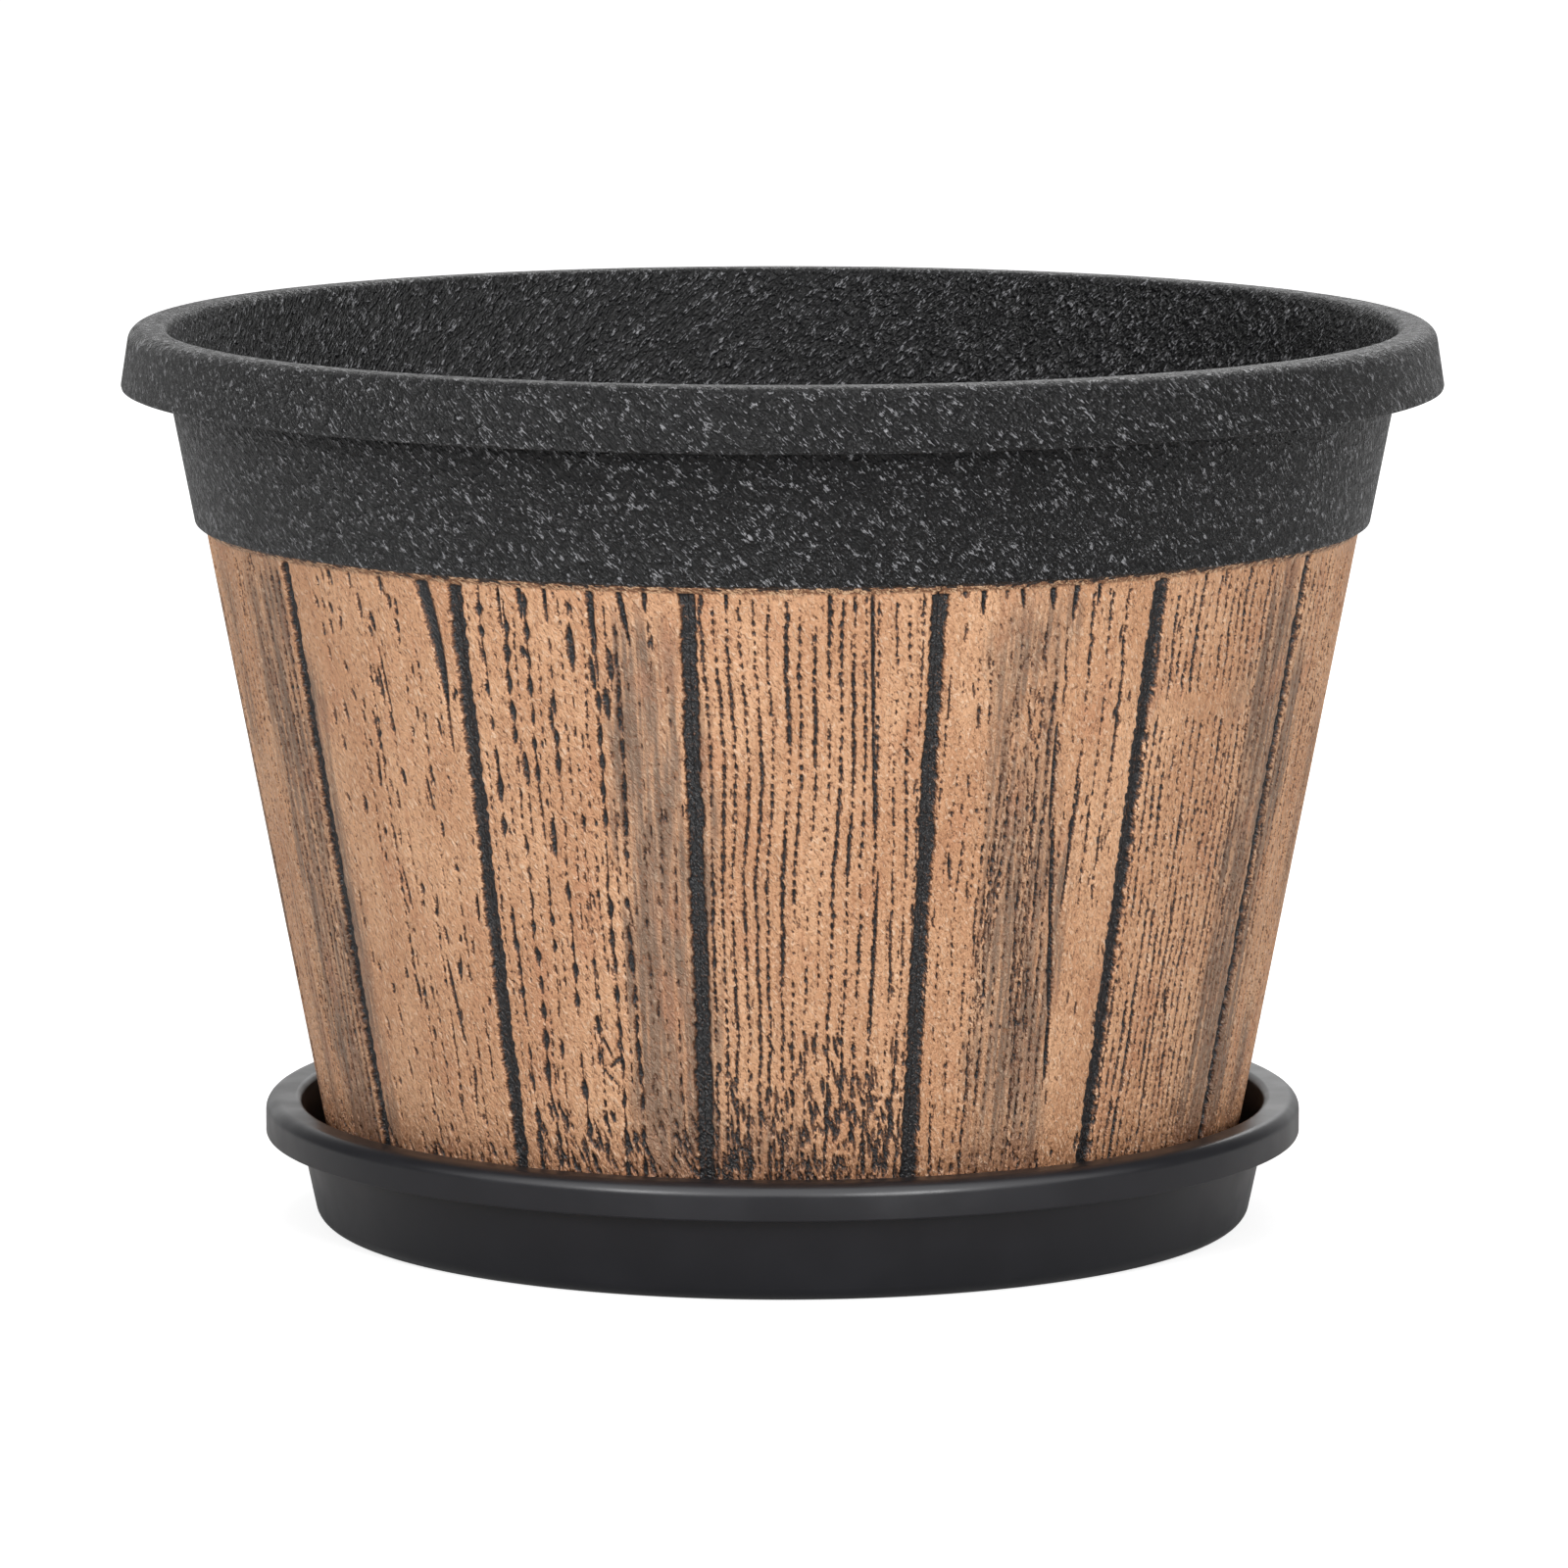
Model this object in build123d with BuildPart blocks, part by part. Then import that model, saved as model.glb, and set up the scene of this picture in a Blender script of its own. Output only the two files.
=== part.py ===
from build123d import *
import os
from math import cos, radians, sin, tan

os.makedirs("parts", exist_ok=True)

# Tapered round planter with a wood-plank wall, standing in its own saucer.
# Millimetres. The origin is the centre of the ring that the saucer stands on, +Z is up,
# and the planter's front faces -Y.

# Pot: the mouth and its rolled lip
rim_diameter = 305.0
pot_height = 202.5
pot_wall = 2.4
wall_draft = 10.85
lip_overhang = 11.0
lip_drop = 14.3
lip_draft = 8.8
lip_wall = 2.2
lip_round = 3.4
mouth_round = 2.2

# Pot: the plain band under the lip and the step down to the planks
collar_height = 32.4
collar_step = 2.2
step_rise = 1.6
inner_step_rise = 1.5

# Pot: planks moulded into the wall, parted by tapered grooves
plank_count = 15
first_groove_angle = -99.0
groove_width = 3.2
groove_floor_width = 2.2
groove_depth = 1.2
groove_land = 0.5
groove_end = 6.0

# Pot: stiffening webs in the channel under the lip
web_count = 15
web_thickness = 1.6
web_recess = 4.0
web_root = 0.5

# Pot: raised floor, the foot that it stands on, and the drainage
floor_lift = 4.0
floor_thickness = 2.6
floor_round = 5.0
foot_width = 3.4
drain_diameter = 12.0
drain_count = 6
drain_circle = 116.0
notch_count = 6
notch_width = 14.0
notch_height = 2.0

# Saucer: dish, rolled lip and the ribs that the pot stands on
saucer_height = 28.7
saucer_wall = 2.0
saucer_draft = 12.0
saucer_gap = 4.1
saucer_corner_round = 4.0
saucer_lip_overhang = 7.9
saucer_lip_drop = 8.3
saucer_lip_round = 3.0
saucer_mouth_round = 2.5
saucer_lift = 1.2
saucer_foot_width = 14.0
saucer_step_run = 3.0
rib_count = 12
rib_height = 2.8
rib_width = 2.4
rib_start_radius = 28.0

# Rounds are cut as flats about this long, which keeps the solids light
flat_length = 2.6

# Heights above the ground
seat_height = saucer_lift + saucer_wall + rib_height
floor_underside = seat_height + floor_lift
floor_top = floor_underside + floor_thickness
rim_height = seat_height + pot_height
lip_edge_height = rim_height - lip_drop
step_height = lip_edge_height - collar_height


def collar_face(height):
    """Outside radius of the plain band, which leans outwards at the wall's draft."""
    edge_radius = rim_diameter / 2 - lip_overhang
    return edge_radius + tan(radians(wall_draft)) * (height - lip_edge_height)


def plank_face(height):
    """Outside radius of the planks, which lie one step inside the band above them."""
    return collar_face(height) - collar_step


def lip_face(height):
    """Outside radius of the lip, which flares outwards towards its lower edge."""
    return rim_diameter / 2 - tan(radians(lip_draft)) * (height - lip_edge_height)


def saucer_face(height):
    """Outside radius of the saucer's wall, which keeps its gap to the pot at the pot's foot."""
    seat_radius = plank_face(seat_height) + saucer_gap + saucer_wall
    return seat_radius + tan(radians(saucer_draft)) * (height - seat_height)


def eased(corners):
    """Points of a closed outline, from corners given as (radius, height, rounding).

    A rounding becomes a chain of flats whose ends lie on its arc.
    """
    points = []
    for index, (radius, height, rounding) in enumerate(corners):
        corner = Vector(radius, height)
        if rounding == 0:
            points.append(corner)
            continue
        before = (Vector(corners[index - 1][:2]) - corner).normalized()
        after = (Vector(corners[(index + 1) % len(corners)][:2]) - corner).normalized()
        half_angle = radians(before.get_angle(after) / 2)
        start = corner + before * (rounding / tan(half_angle))
        end = corner + after * (rounding / tan(half_angle))
        centre = corner + (before + after).normalized() * (rounding / sin(half_angle))
        flats = max(1, round((end - start).length / flat_length))
        for step in range(flats + 1):
            on_chord = start + (end - start) * (step / flats)
            points.append(centre + (on_chord - centre).normalized() * rounding)
    return points


def radial_plane(angle):
    """Upright plane through the axis: its x runs outwards at this angle and its y runs up."""
    outwards = (cos(radians(angle)), sin(radians(angle)), 0)
    across = (sin(radians(angle)), -cos(radians(angle)), 0)
    return Plane(origin=(0, 0, 0), x_dir=outwards, z_dir=across)


def groove_plane(angle, height):
    """Plane square to the planks' slope: its x runs round the pot and its y out of the wall."""
    lean = radians(wall_draft)
    turn = radians(angle)
    radius = plank_face(height)
    start = (radius * cos(turn), radius * sin(turn), height)
    down_slope = (-sin(lean) * cos(turn), -sin(lean) * sin(turn), -cos(lean))
    return Plane(origin=start, x_dir=(-sin(turn), cos(turn), 0), z_dir=down_slope)


# Pot. Its section is one thin wall: up the planks, out over the step to the plain band, up and
# over the lip, then down the inside, which steps in where the outside does.
channel_top = rim_height - lip_wall
inner_step_height = step_height + inner_step_rise
foot_inner_radius = plank_face(seat_height) - foot_width
pot_corners = [
    (plank_face(seat_height), seat_height, 0),
    (plank_face(step_height), step_height, 0),
    (collar_face(step_height + step_rise), step_height + step_rise, 0),
    (collar_face(channel_top), channel_top, 0),
    (lip_face(channel_top) - lip_wall, channel_top, 0),
    (lip_face(lip_edge_height) - lip_wall, lip_edge_height, 0),
    (lip_face(lip_edge_height), lip_edge_height, 0),
    (lip_face(rim_height), rim_height, lip_round),
    (collar_face(rim_height) - pot_wall, rim_height, mouth_round),
    (collar_face(inner_step_height + step_rise) - pot_wall, inner_step_height + step_rise, 0),
    (plank_face(inner_step_height) - pot_wall, inner_step_height, 0),
    (plank_face(floor_top) - pot_wall, floor_top, floor_round),
    (0, floor_top, 0),
    (0, floor_underside, 0),
    (foot_inner_radius, floor_underside, 0),
    (foot_inner_radius, seat_height, 0),
]

with BuildPart() as pot:
    with BuildSketch(Plane.XZ):
        with BuildLine():
            Polyline(eased(pot_corners), close=True)
        make_face()
    revolve(axis=Axis.Z)

    # Webs tie the lip to the wall, one over the middle of each plank. Their lower edges stay up
    # inside the channel.
    web_low = lip_edge_height + web_recess
    web_high = channel_top + web_root
    web_angles = [first_groove_angle + 360 / web_count * (turn + 0.5) for turn in range(web_count)]
    with BuildSketch(*[radial_plane(angle) for angle in web_angles]):
        Polygon(
            (collar_face(web_low) - web_root, web_low),
            (lip_face(web_low) - lip_wall + web_root, web_low),
            (lip_face(web_high) - lip_wall + web_root, web_high),
            (collar_face(web_high) - web_root, web_high),
            align=None,
        )
    extrude(amount=web_thickness / 2, both=True)

    # Grooves part the wall into planks. They run down the slope from just under the step.
    groove_top = step_height - groove_land
    groove_length = (groove_top - seat_height - groove_end) / cos(radians(wall_draft))
    groove_angles = [first_groove_angle + 360 / plank_count * turn for turn in range(plank_count)]
    with BuildSketch(*[groove_plane(angle, groove_top) for angle in groove_angles]):
        Polygon(
            (-groove_floor_width / 2, -groove_depth),
            (groove_floor_width / 2, -groove_depth),
            (groove_width / 2, 0),
            (groove_width / 2, groove_depth),
            (-groove_width / 2, groove_depth),
            (-groove_width / 2, 0),
            align=None,
        )
    extrude(amount=groove_length, mode=Mode.SUBTRACT)

    # Water leaves through holes in the raised floor, then through notches in the foot.
    with BuildSketch(Plane.XY.offset(floor_top)):
        Circle(drain_diameter / 2)
        with PolarLocations(drain_circle / 2, drain_count):
            Circle(drain_diameter / 2)
    extrude(amount=-floor_thickness, mode=Mode.SUBTRACT)
    notch_angles = [360 / notch_count * (turn + 0.25) for turn in range(notch_count)]
    with BuildSketch(*[radial_plane(angle) for angle in notch_angles]):
        Polygon(
            (foot_inner_radius - foot_width, seat_height - notch_height),
            (foot_inner_radius + 2 * foot_width, seat_height - notch_height),
            (foot_inner_radius + 2 * foot_width, seat_height + notch_height),
            (foot_inner_radius - foot_width, seat_height + notch_height),
            align=None,
        )
    extrude(amount=notch_width / 2, both=True, mode=Mode.SUBTRACT)

pot.part.label = "pot"
export_step(pot.part, "parts/pot.step")


# Saucer. It is as thin a wall as the pot's: out under the foot that it stands on, up the side,
# over its lip, and back along a floor whose middle is raised off the ground.
saucer_channel_top = saucer_height - saucer_wall
saucer_lip_edge = saucer_height - saucer_lip_drop
saucer_lip_radius = saucer_face(saucer_lip_edge) + saucer_lip_overhang
step_outer_radius = saucer_face(0) - saucer_foot_width
step_inner_radius = step_outer_radius - saucer_step_run
saucer_corners = [
    (saucer_face(0), 0, saucer_corner_round),
    (saucer_face(saucer_channel_top), saucer_channel_top, 0),
    (saucer_lip_radius - saucer_wall, saucer_channel_top, 0),
    (saucer_lip_radius - saucer_wall, saucer_lip_edge, 0),
    (saucer_lip_radius, saucer_lip_edge, 0),
    (saucer_lip_radius, saucer_height, saucer_lip_round),
    (saucer_face(saucer_height) - saucer_wall, saucer_height, saucer_mouth_round),
    (saucer_face(saucer_wall) - saucer_wall, saucer_wall, 0),
    (step_outer_radius, saucer_wall, 0),
    (step_inner_radius, saucer_lift + saucer_wall, 0),
    (0, saucer_lift + saucer_wall, 0),
    (0, saucer_lift, 0),
    (step_inner_radius, saucer_lift, 0),
    (step_outer_radius, 0, 0),
]

with BuildPart() as saucer:
    with BuildSketch(Plane.XZ):
        with BuildLine():
            Polyline(eased(saucer_corners), close=True)
        make_face()
    revolve(axis=Axis.Z)

    # Ribs carry the pot's foot clear of the water. They are rooted half a wall deep in the floor.
    root_depth = saucer_wall / 2
    rib_angles = [360 / rib_count * turn for turn in range(rib_count)]
    with BuildSketch(*[radial_plane(angle) for angle in rib_angles]):
        Polygon(
            (rib_start_radius, saucer_lift + root_depth),
            (step_inner_radius, saucer_lift + root_depth),
            (step_outer_radius, root_depth),
            (plank_face(seat_height), root_depth),
            (plank_face(seat_height), seat_height),
            (rib_start_radius, seat_height),
            align=None,
        )
    extrude(amount=rib_width / 2, both=True)

saucer.part.label = "saucer"
export_step(saucer.part, "parts/saucer.step")
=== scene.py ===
# %% [markdown]
# # A tapered planter with a plank look
# The real object is two mouldings in black plastic: a thin-walled pot with a rolled lip, whose
# wall is moulded and printed as fifteen weathered planks, and the saucer that it stands in.
# Every cell makes one piece or one finish. Lengths are thought of in millimetres and turned into
# metres where a mesh is made, because the frame is in metres.

# %% Load the solids that the looks are built around
import math

import bmesh
import bpy
import numpy as np
from mathutils import Matrix, Vector


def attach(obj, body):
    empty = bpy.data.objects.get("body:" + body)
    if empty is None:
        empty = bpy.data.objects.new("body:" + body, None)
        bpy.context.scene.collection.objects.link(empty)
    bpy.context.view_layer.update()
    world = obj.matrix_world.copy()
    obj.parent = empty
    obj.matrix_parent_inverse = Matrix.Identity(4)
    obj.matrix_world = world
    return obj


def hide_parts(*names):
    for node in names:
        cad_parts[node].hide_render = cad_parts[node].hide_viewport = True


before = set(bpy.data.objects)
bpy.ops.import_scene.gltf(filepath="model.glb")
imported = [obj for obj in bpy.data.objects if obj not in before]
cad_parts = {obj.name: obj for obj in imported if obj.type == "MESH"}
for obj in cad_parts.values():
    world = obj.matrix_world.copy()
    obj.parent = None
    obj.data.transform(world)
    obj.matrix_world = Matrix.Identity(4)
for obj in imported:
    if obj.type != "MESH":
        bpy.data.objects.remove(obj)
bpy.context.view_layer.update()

MM = 0.001

# %% [markdown]
# ## The camera
# The photograph looks slightly down at the front from a good two metres away, which keeps the
# rim a flat ellipse. A long lens from that distance gives the same narrow perspective; a short
# lens from nearby would open the mouth too much.

# %% Camera
CAMERA_DISTANCE = 2.190
CAMERA_HEIGHT = 0.415
CAMERA_PITCH = 8.16
CAMERA_LENS = 218.8
IMAGE_SIZE = 1600
IMAGE_CENTRE_OFFSET = 1.5

camera_data = bpy.data.cameras.new("camera")
camera_data.lens = CAMERA_LENS
camera_data.sensor_width = 36
camera_data.shift_x = IMAGE_CENTRE_OFFSET / IMAGE_SIZE
camera_data.clip_start = 0.05
camera_data.clip_end = 50
camera = bpy.data.objects.new("camera", camera_data)
camera.location = (0, -CAMERA_DISTANCE, CAMERA_HEIGHT)
camera.rotation_euler = (math.radians(90 - CAMERA_PITCH), 0, 0)
bpy.context.scene.collection.objects.link(camera)
bpy.context.scene.camera = camera
bpy.context.scene.view_settings.view_transform = "Standard"
print("camera at", tuple(camera.location))

# %% [markdown]
# ## Sizes
# The pot is a cone whose wall leans out by a fixed draft, so one radius and one angle give its
# face at any height. The planks lie one step inside the plain band above them.

# %% Sizes of the pot and the saucer, in millimetres
RIM_RADIUS = 152.5
RIM_HEIGHT = 208.5
LIP_EDGE = 194.2
LIP_WALL = 2.2
LIP_OVERHANG = 11.0
COLLAR_STEP = 2.2
CHANNEL_TOP = RIM_HEIGHT - LIP_WALL
POT_WALL = 2.4
STEP = 161.8
STEP_RISE = 1.6
INNER_STEP_RISE = 1.5
SEAT = 6.0
FLOOR_UNDERSIDE = 10.0
FLOOR_TOP = 12.6
FOOT_WIDTH = 3.4
WALL_LEAN = math.radians(10.85)
DRAFT = math.tan(WALL_LEAN)
LIP_DRAFT = math.tan(math.radians(8.8))
SAUCER_DRAFT = math.tan(math.radians(12))
SAUCER_HEIGHT = 28.7
SAUCER_WALL = 2.0
SAUCER_GAP = 4.1
SAUCER_LIP_RADIUS = 120.3
SAUCER_LIP_EDGE = 20.4


def band_face(height):
    """Outside radius of the plain band."""
    return RIM_RADIUS - LIP_OVERHANG + DRAFT * (height - LIP_EDGE)


def plank_face(height):
    """Outside radius of the planks."""
    return band_face(height) - COLLAR_STEP


def lip_face(height):
    """Outside radius of the lip, which flares towards its lower edge."""
    return RIM_RADIUS - LIP_DRAFT * (height - LIP_EDGE)


def saucer_face(height):
    """Outside radius of the saucer's wall."""
    return plank_face(SEAT) + SAUCER_GAP + SAUCER_WALL + SAUCER_DRAFT * (height - SEAT)


print("plank face at foot and step", round(plank_face(SEAT), 2), round(plank_face(STEP), 2))

# %% [markdown]
# ## Helpers for turned shapes
# Both mouldings are round, so each is a flat outline turned about the axis. The outline is one
# face in the XZ plane. Its corners get their roundings with a vertex bevel, each with its own
# reach, and then the spin operator makes the wall.

# %% Helpers for outlines and turned pieces
ROUND_SEGMENT = 0.45


def outline(corners):
    """One flat face in the XZ plane, from corners given as (radius, height, rounding)."""
    bm = bmesh.new()
    corner_verts = [bm.verts.new((radius * MM, 0, height * MM)) for radius, height, _ in corners]
    bm.faces.new(corner_verts)
    for vert, (_, _, rounding) in zip(corner_verts, corners):
        if rounding:
            arms = [(edge.other_vert(vert).co - vert.co) for edge in vert.link_edges]
            reach = rounding * MM / math.tan(arms[0].angle(arms[1]) / 2)
            bmesh.ops.bevel(
                bm, geom=[vert], offset=reach, offset_type="OFFSET", affect="VERTICES",
                segments=max(2, round(rounding / ROUND_SEGMENT)), profile=0.5, material=-1,
            )
    return bm


def turned(corners, steps):
    """A closed solid of revolution about the Z axis from an outline."""
    bm = outline(corners)
    bmesh.ops.delete(bm, geom=bm.faces[:], context="FACES_ONLY")
    on_axis = [edge for edge in bm.edges if max(abs(v.co.x) for v in edge.verts) < 1e-7]
    bmesh.ops.delete(bm, geom=on_axis, context="EDGES")
    bmesh.ops.spin(
        bm, geom=bm.verts[:] + bm.edges[:], cent=(0, 0, 0), axis=(0, 0, 1),
        angle=math.tau, steps=steps, use_merge=True,
    )
    bmesh.ops.remove_doubles(bm, verts=bm.verts[:], dist=1e-6)
    bmesh.ops.recalc_face_normals(bm, faces=bm.faces[:])
    return bm


def pull(bm, faces, vector):
    """Extrudes faces along a vector in millimetres and keeps the faces, so a plate is closed."""
    pulled = bmesh.ops.extrude_face_region(bm, geom=faces, use_keep_orig=True)
    pulled_verts = [item for item in pulled["geom"] if isinstance(item, bmesh.types.BMVert)]
    bmesh.ops.translate(bm, verts=pulled_verts, vec=[length * MM for length in vector])
    bmesh.ops.recalc_face_normals(bm, faces=bm.faces[:])


def ease(bm, edges, size, segments=2):
    """Rounds edges a little, as a mould leaves them."""
    bmesh.ops.bevel(bm, geom=edges, offset=size * MM, offset_type="OFFSET", affect="EDGES",
                    segments=segments, profile=0.5, material=-1)


def fin(points, thickness):
    """A plate in the XZ plane, from (radius, height) points, with its middle on that plane."""
    bm = bmesh.new()
    side = -thickness / 2
    face = bm.faces.new([bm.verts.new((x * MM, side * MM, z * MM)) for x, z in points])
    pull(bm, [face], (0, thickness, 0))
    return bm


def repeat_round(bm, count):
    """Copies what the mesh holds round the Z axis, count times in all."""
    bmesh.ops.spin(
        bm, geom=bm.verts[:] + bm.edges[:] + bm.faces[:], cent=(0, 0, 0), axis=(0, 0, 1),
        angle=math.tau * (count - 1) / count, steps=count - 1, use_duplicate=True,
    )


def make_piece(name, bm, material, body, node):
    """Turns a bmesh into a smooth-shaded piece that rides on a body and stands for a node."""
    for face in bm.faces:
        face.smooth = True
    open_edges = sum(not edge.is_manifold for edge in bm.edges)
    mesh = bpy.data.meshes.new(name)
    bm.to_mesh(mesh)
    bm.free()
    mesh.materials.append(material)
    piece = bpy.data.objects.new(name, mesh)
    bpy.context.scene.collection.objects.link(piece)
    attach(piece, body)
    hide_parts(node)
    print(name, len(mesh.polygons), "faces,", open_edges, "open edges")
    return piece


def weigh_normals(piece):
    """Keeps large faces flat-shaded up to their small roundings."""
    modifier = piece.modifiers.new("weighted_normals", "WEIGHTED_NORMAL")
    modifier.keep_sharp = True
    return piece


# %% [markdown]
# ## Helpers for materials
# A material here is a small chain of nodes. One function adds a node, sets it up and wires it,
# so that a finish reads from top to bottom like a recipe. Colours are written as the hex values
# that a screen shows and are turned to linear light once, in one place.

# %% Helpers for materials
def linear(hex_colour):
    """Linear RGBA from an sRGB hex colour."""
    channels = [int(hex_colour[i:i + 2], 16) / 255 for i in (1, 3, 5)]
    return [c / 12.92 if c <= 0.04045 else ((c + 0.055) / 1.055) ** 2.4 for c in channels] + [1]


def new_material(name):
    """An empty node material, its tree and its principled shader."""
    material = bpy.data.materials.new(name)
    material.use_nodes = True
    return material, material.node_tree, material.node_tree.nodes["Principled BSDF"]


def add(tree, kind, inputs=(), **settings):
    """Adds a node. Settings are its properties; inputs are (socket, value or output) pairs."""
    node = tree.nodes.new(kind)
    for key, value in settings.items():
        setattr(node, key, value)
    for socket, value in dict(inputs).items():
        if isinstance(value, bpy.types.NodeSocket):
            tree.links.new(value, node.inputs[socket])
        else:
            node.inputs[socket].default_value = value
    return node


SMOOTH = {"interpolation_type": "SMOOTHSTEP"}
COLOUR = {"data_type": "RGBA"}
PLASTIC_IOR = 1.49

# %% [markdown]
# ## Black plastic with a pebbled skin
# The lip, the band under it and the inside are black polypropylene, moulded against an etched
# tool. Light catches a leathery skin of bumps about 1.5 mm across, drawn out along a slant.
# Noise sampled in coordinates that twist with height gives bumps that run aslant all the way
# round, with no seam, where a flat texture wrapped round the pot would need one. The raised
# skin is painted a lighter black and its highest spots pale grey: a painted sheen and painted
# glints for the light that the bumps catch.

# %% Pebbled black plastic
PEBBLE = 1.7
WRINKLE_WIDTH = 1.1
WRINKLE_LENGTH = 2.3
WRINKLE_SHARE = 1.1
SPOT_SHARE = 0.9
SLANT_PER_METRE = 6.0
BLOTCH = 30
SKIN_RELIEF = 2.2

pebbled, tree, shader = new_material("black_polypropylene_pebbled")
place = add(tree, "ShaderNodeTexCoord").outputs["Object"]
height = add(tree, "ShaderNodeSeparateXYZ", {0: place}).outputs[2]
turn = add(tree, "ShaderNodeMath", {0: height, 1: SLANT_PER_METRE}, operation="MULTIPLY").outputs[0]
twisted = add(tree, "ShaderNodeVectorRotate", {0: place, "Angle": turn}, rotation_type="Z_AXIS")
stretch = (1 / (WRINKLE_WIDTH * MM), 1 / (WRINKLE_WIDTH * MM), 1 / (WRINKLE_LENGTH * MM))
drawn = add(tree, "ShaderNodeVectorMath", {0: twisted.outputs[0], 1: stretch}, operation="MULTIPLY")
wrinkles = add(tree, "ShaderNodeTexNoise", {"Vector": drawn.outputs[0], "Scale": 1, "Detail": 2,
                                            "Roughness": 0.5, "Distortion": 1.0}).outputs[0]
pebbles = add(tree, "ShaderNodeTexNoise", {"Vector": place, "Scale": 1 / (PEBBLE * MM), "Detail": 2,
                                           "Roughness": 0.55, "Distortion": 0.8}).outputs[0]
share = add(tree, "ShaderNodeMath", {0: wrinkles, 1: WRINKLE_SHARE}, operation="MULTIPLY").outputs[0]
skin = add(tree, "ShaderNodeMath", {0: share, 1: pebbles}, operation="ADD").outputs[0]
bump = add(tree, "ShaderNodeBump", {"Height": skin, "Strength": 1.0, "Distance": SKIN_RELIEF * MM})
blotch = add(tree, "ShaderNodeTexNoise", {"Vector": place, "Scale": 1 / (BLOTCH * MM), "Detail": 3})
black = add(tree, "ShaderNodeMix", {
    0: blotch.outputs[0], 6: linear("#060607"), 7: linear("#0C0C0E")}, **COLOUR).outputs[2]
# Painted sheen: the raised parts of the skin are painted a lighter black.
painted_sheen = add(tree, "ShaderNodeMapRange", {0: skin, 1: 1.06, 2: 1.40}, **SMOOTH).outputs[0]
black = add(tree, "ShaderNodeMix", {0: painted_sheen, 6: black, 7: linear("#1C1C1F")}, **COLOUR).outputs[2]
# Painted glints: the highest spots of the skin are painted pale grey.
spots = add(tree, "ShaderNodeTexNoise", {"Vector": drawn.outputs[0], "Scale": 2.8, "Detail": 1})
share = add(tree, "ShaderNodeMath", {0: spots.outputs[0], 1: SPOT_SHARE}, operation="MULTIPLY")
painted_glint_tips = add(tree, "ShaderNodeMath", {0: skin, 1: share.outputs[0]}, operation="ADD").outputs[0]
painted_glints = add(tree, "ShaderNodeMapRange", {0: painted_glint_tips, 1: 1.66, 2: 1.81, 4: 0.9}, **SMOOTH).outputs[0]
black = add(tree, "ShaderNodeMix", {0: painted_glints, 6: black, 7: linear("#98989B")}, **COLOUR).outputs[2]
gloss = add(tree, "ShaderNodeMapRange", {0: skin, 1: 0.85, 2: 1.35, 3: 0.46, 4: 0.24}, **SMOOTH)
tree.links.new(black, shader.inputs["Base Color"])
tree.links.new(gloss.outputs[0], shader.inputs["Roughness"])
tree.links.new(bump.outputs[0], shader.inputs["Normal"])
shader.inputs["IOR"].default_value = PLASTIC_IOR
print("material", pebbled.name)

# %% [markdown]
# ## Satin black plastic
# The saucer is the same polymer from a smoother tool: satin, with a long soft highlight along
# its lip. Only a faint unevenness keeps it from looking like glass.

# %% Satin black plastic
HAZE = 14
GRIT = 0.5

satin, tree, shader = new_material("black_polypropylene_satin")
place = add(tree, "ShaderNodeTexCoord").outputs["Object"]
haze = add(tree, "ShaderNodeTexNoise", {"Vector": place, "Scale": 1 / (HAZE * MM), "Detail": 4})
grit = add(tree, "ShaderNodeTexNoise", {"Vector": place, "Scale": 1 / (GRIT * MM), "Detail": 2})
black = add(tree, "ShaderNodeMix", {
    0: haze.outputs[0], 6: linear("#131317"), 7: linear("#1A1A1F")}, **COLOUR).outputs[2]
gloss = add(tree, "ShaderNodeMapRange", {
    0: haze.outputs[0], 1: 0.3, 2: 0.7, 3: 0.30, 4: 0.38}, **SMOOTH)
bump = add(tree, "ShaderNodeBump", {
    "Height": grit.outputs[0], "Strength": 0.12, "Distance": 0.1 * MM})
tree.links.new(black, shader.inputs["Base Color"])
tree.links.new(gloss.outputs[0], shader.inputs["Roughness"])
tree.links.new(bump.outputs[0], shader.inputs["Normal"])
shader.inputs["IOR"].default_value = PLASTIC_IOR
print("material", satin.name)

# %% [markdown]
# ## The pot's shell
# One thin black wall makes the lip, the band, the inside and the foot. Behind the planks it is
# recessed, because they are modelled as their own skins. It is turned from one outline, with
# the real roundings at the lip and the mouth.

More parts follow.
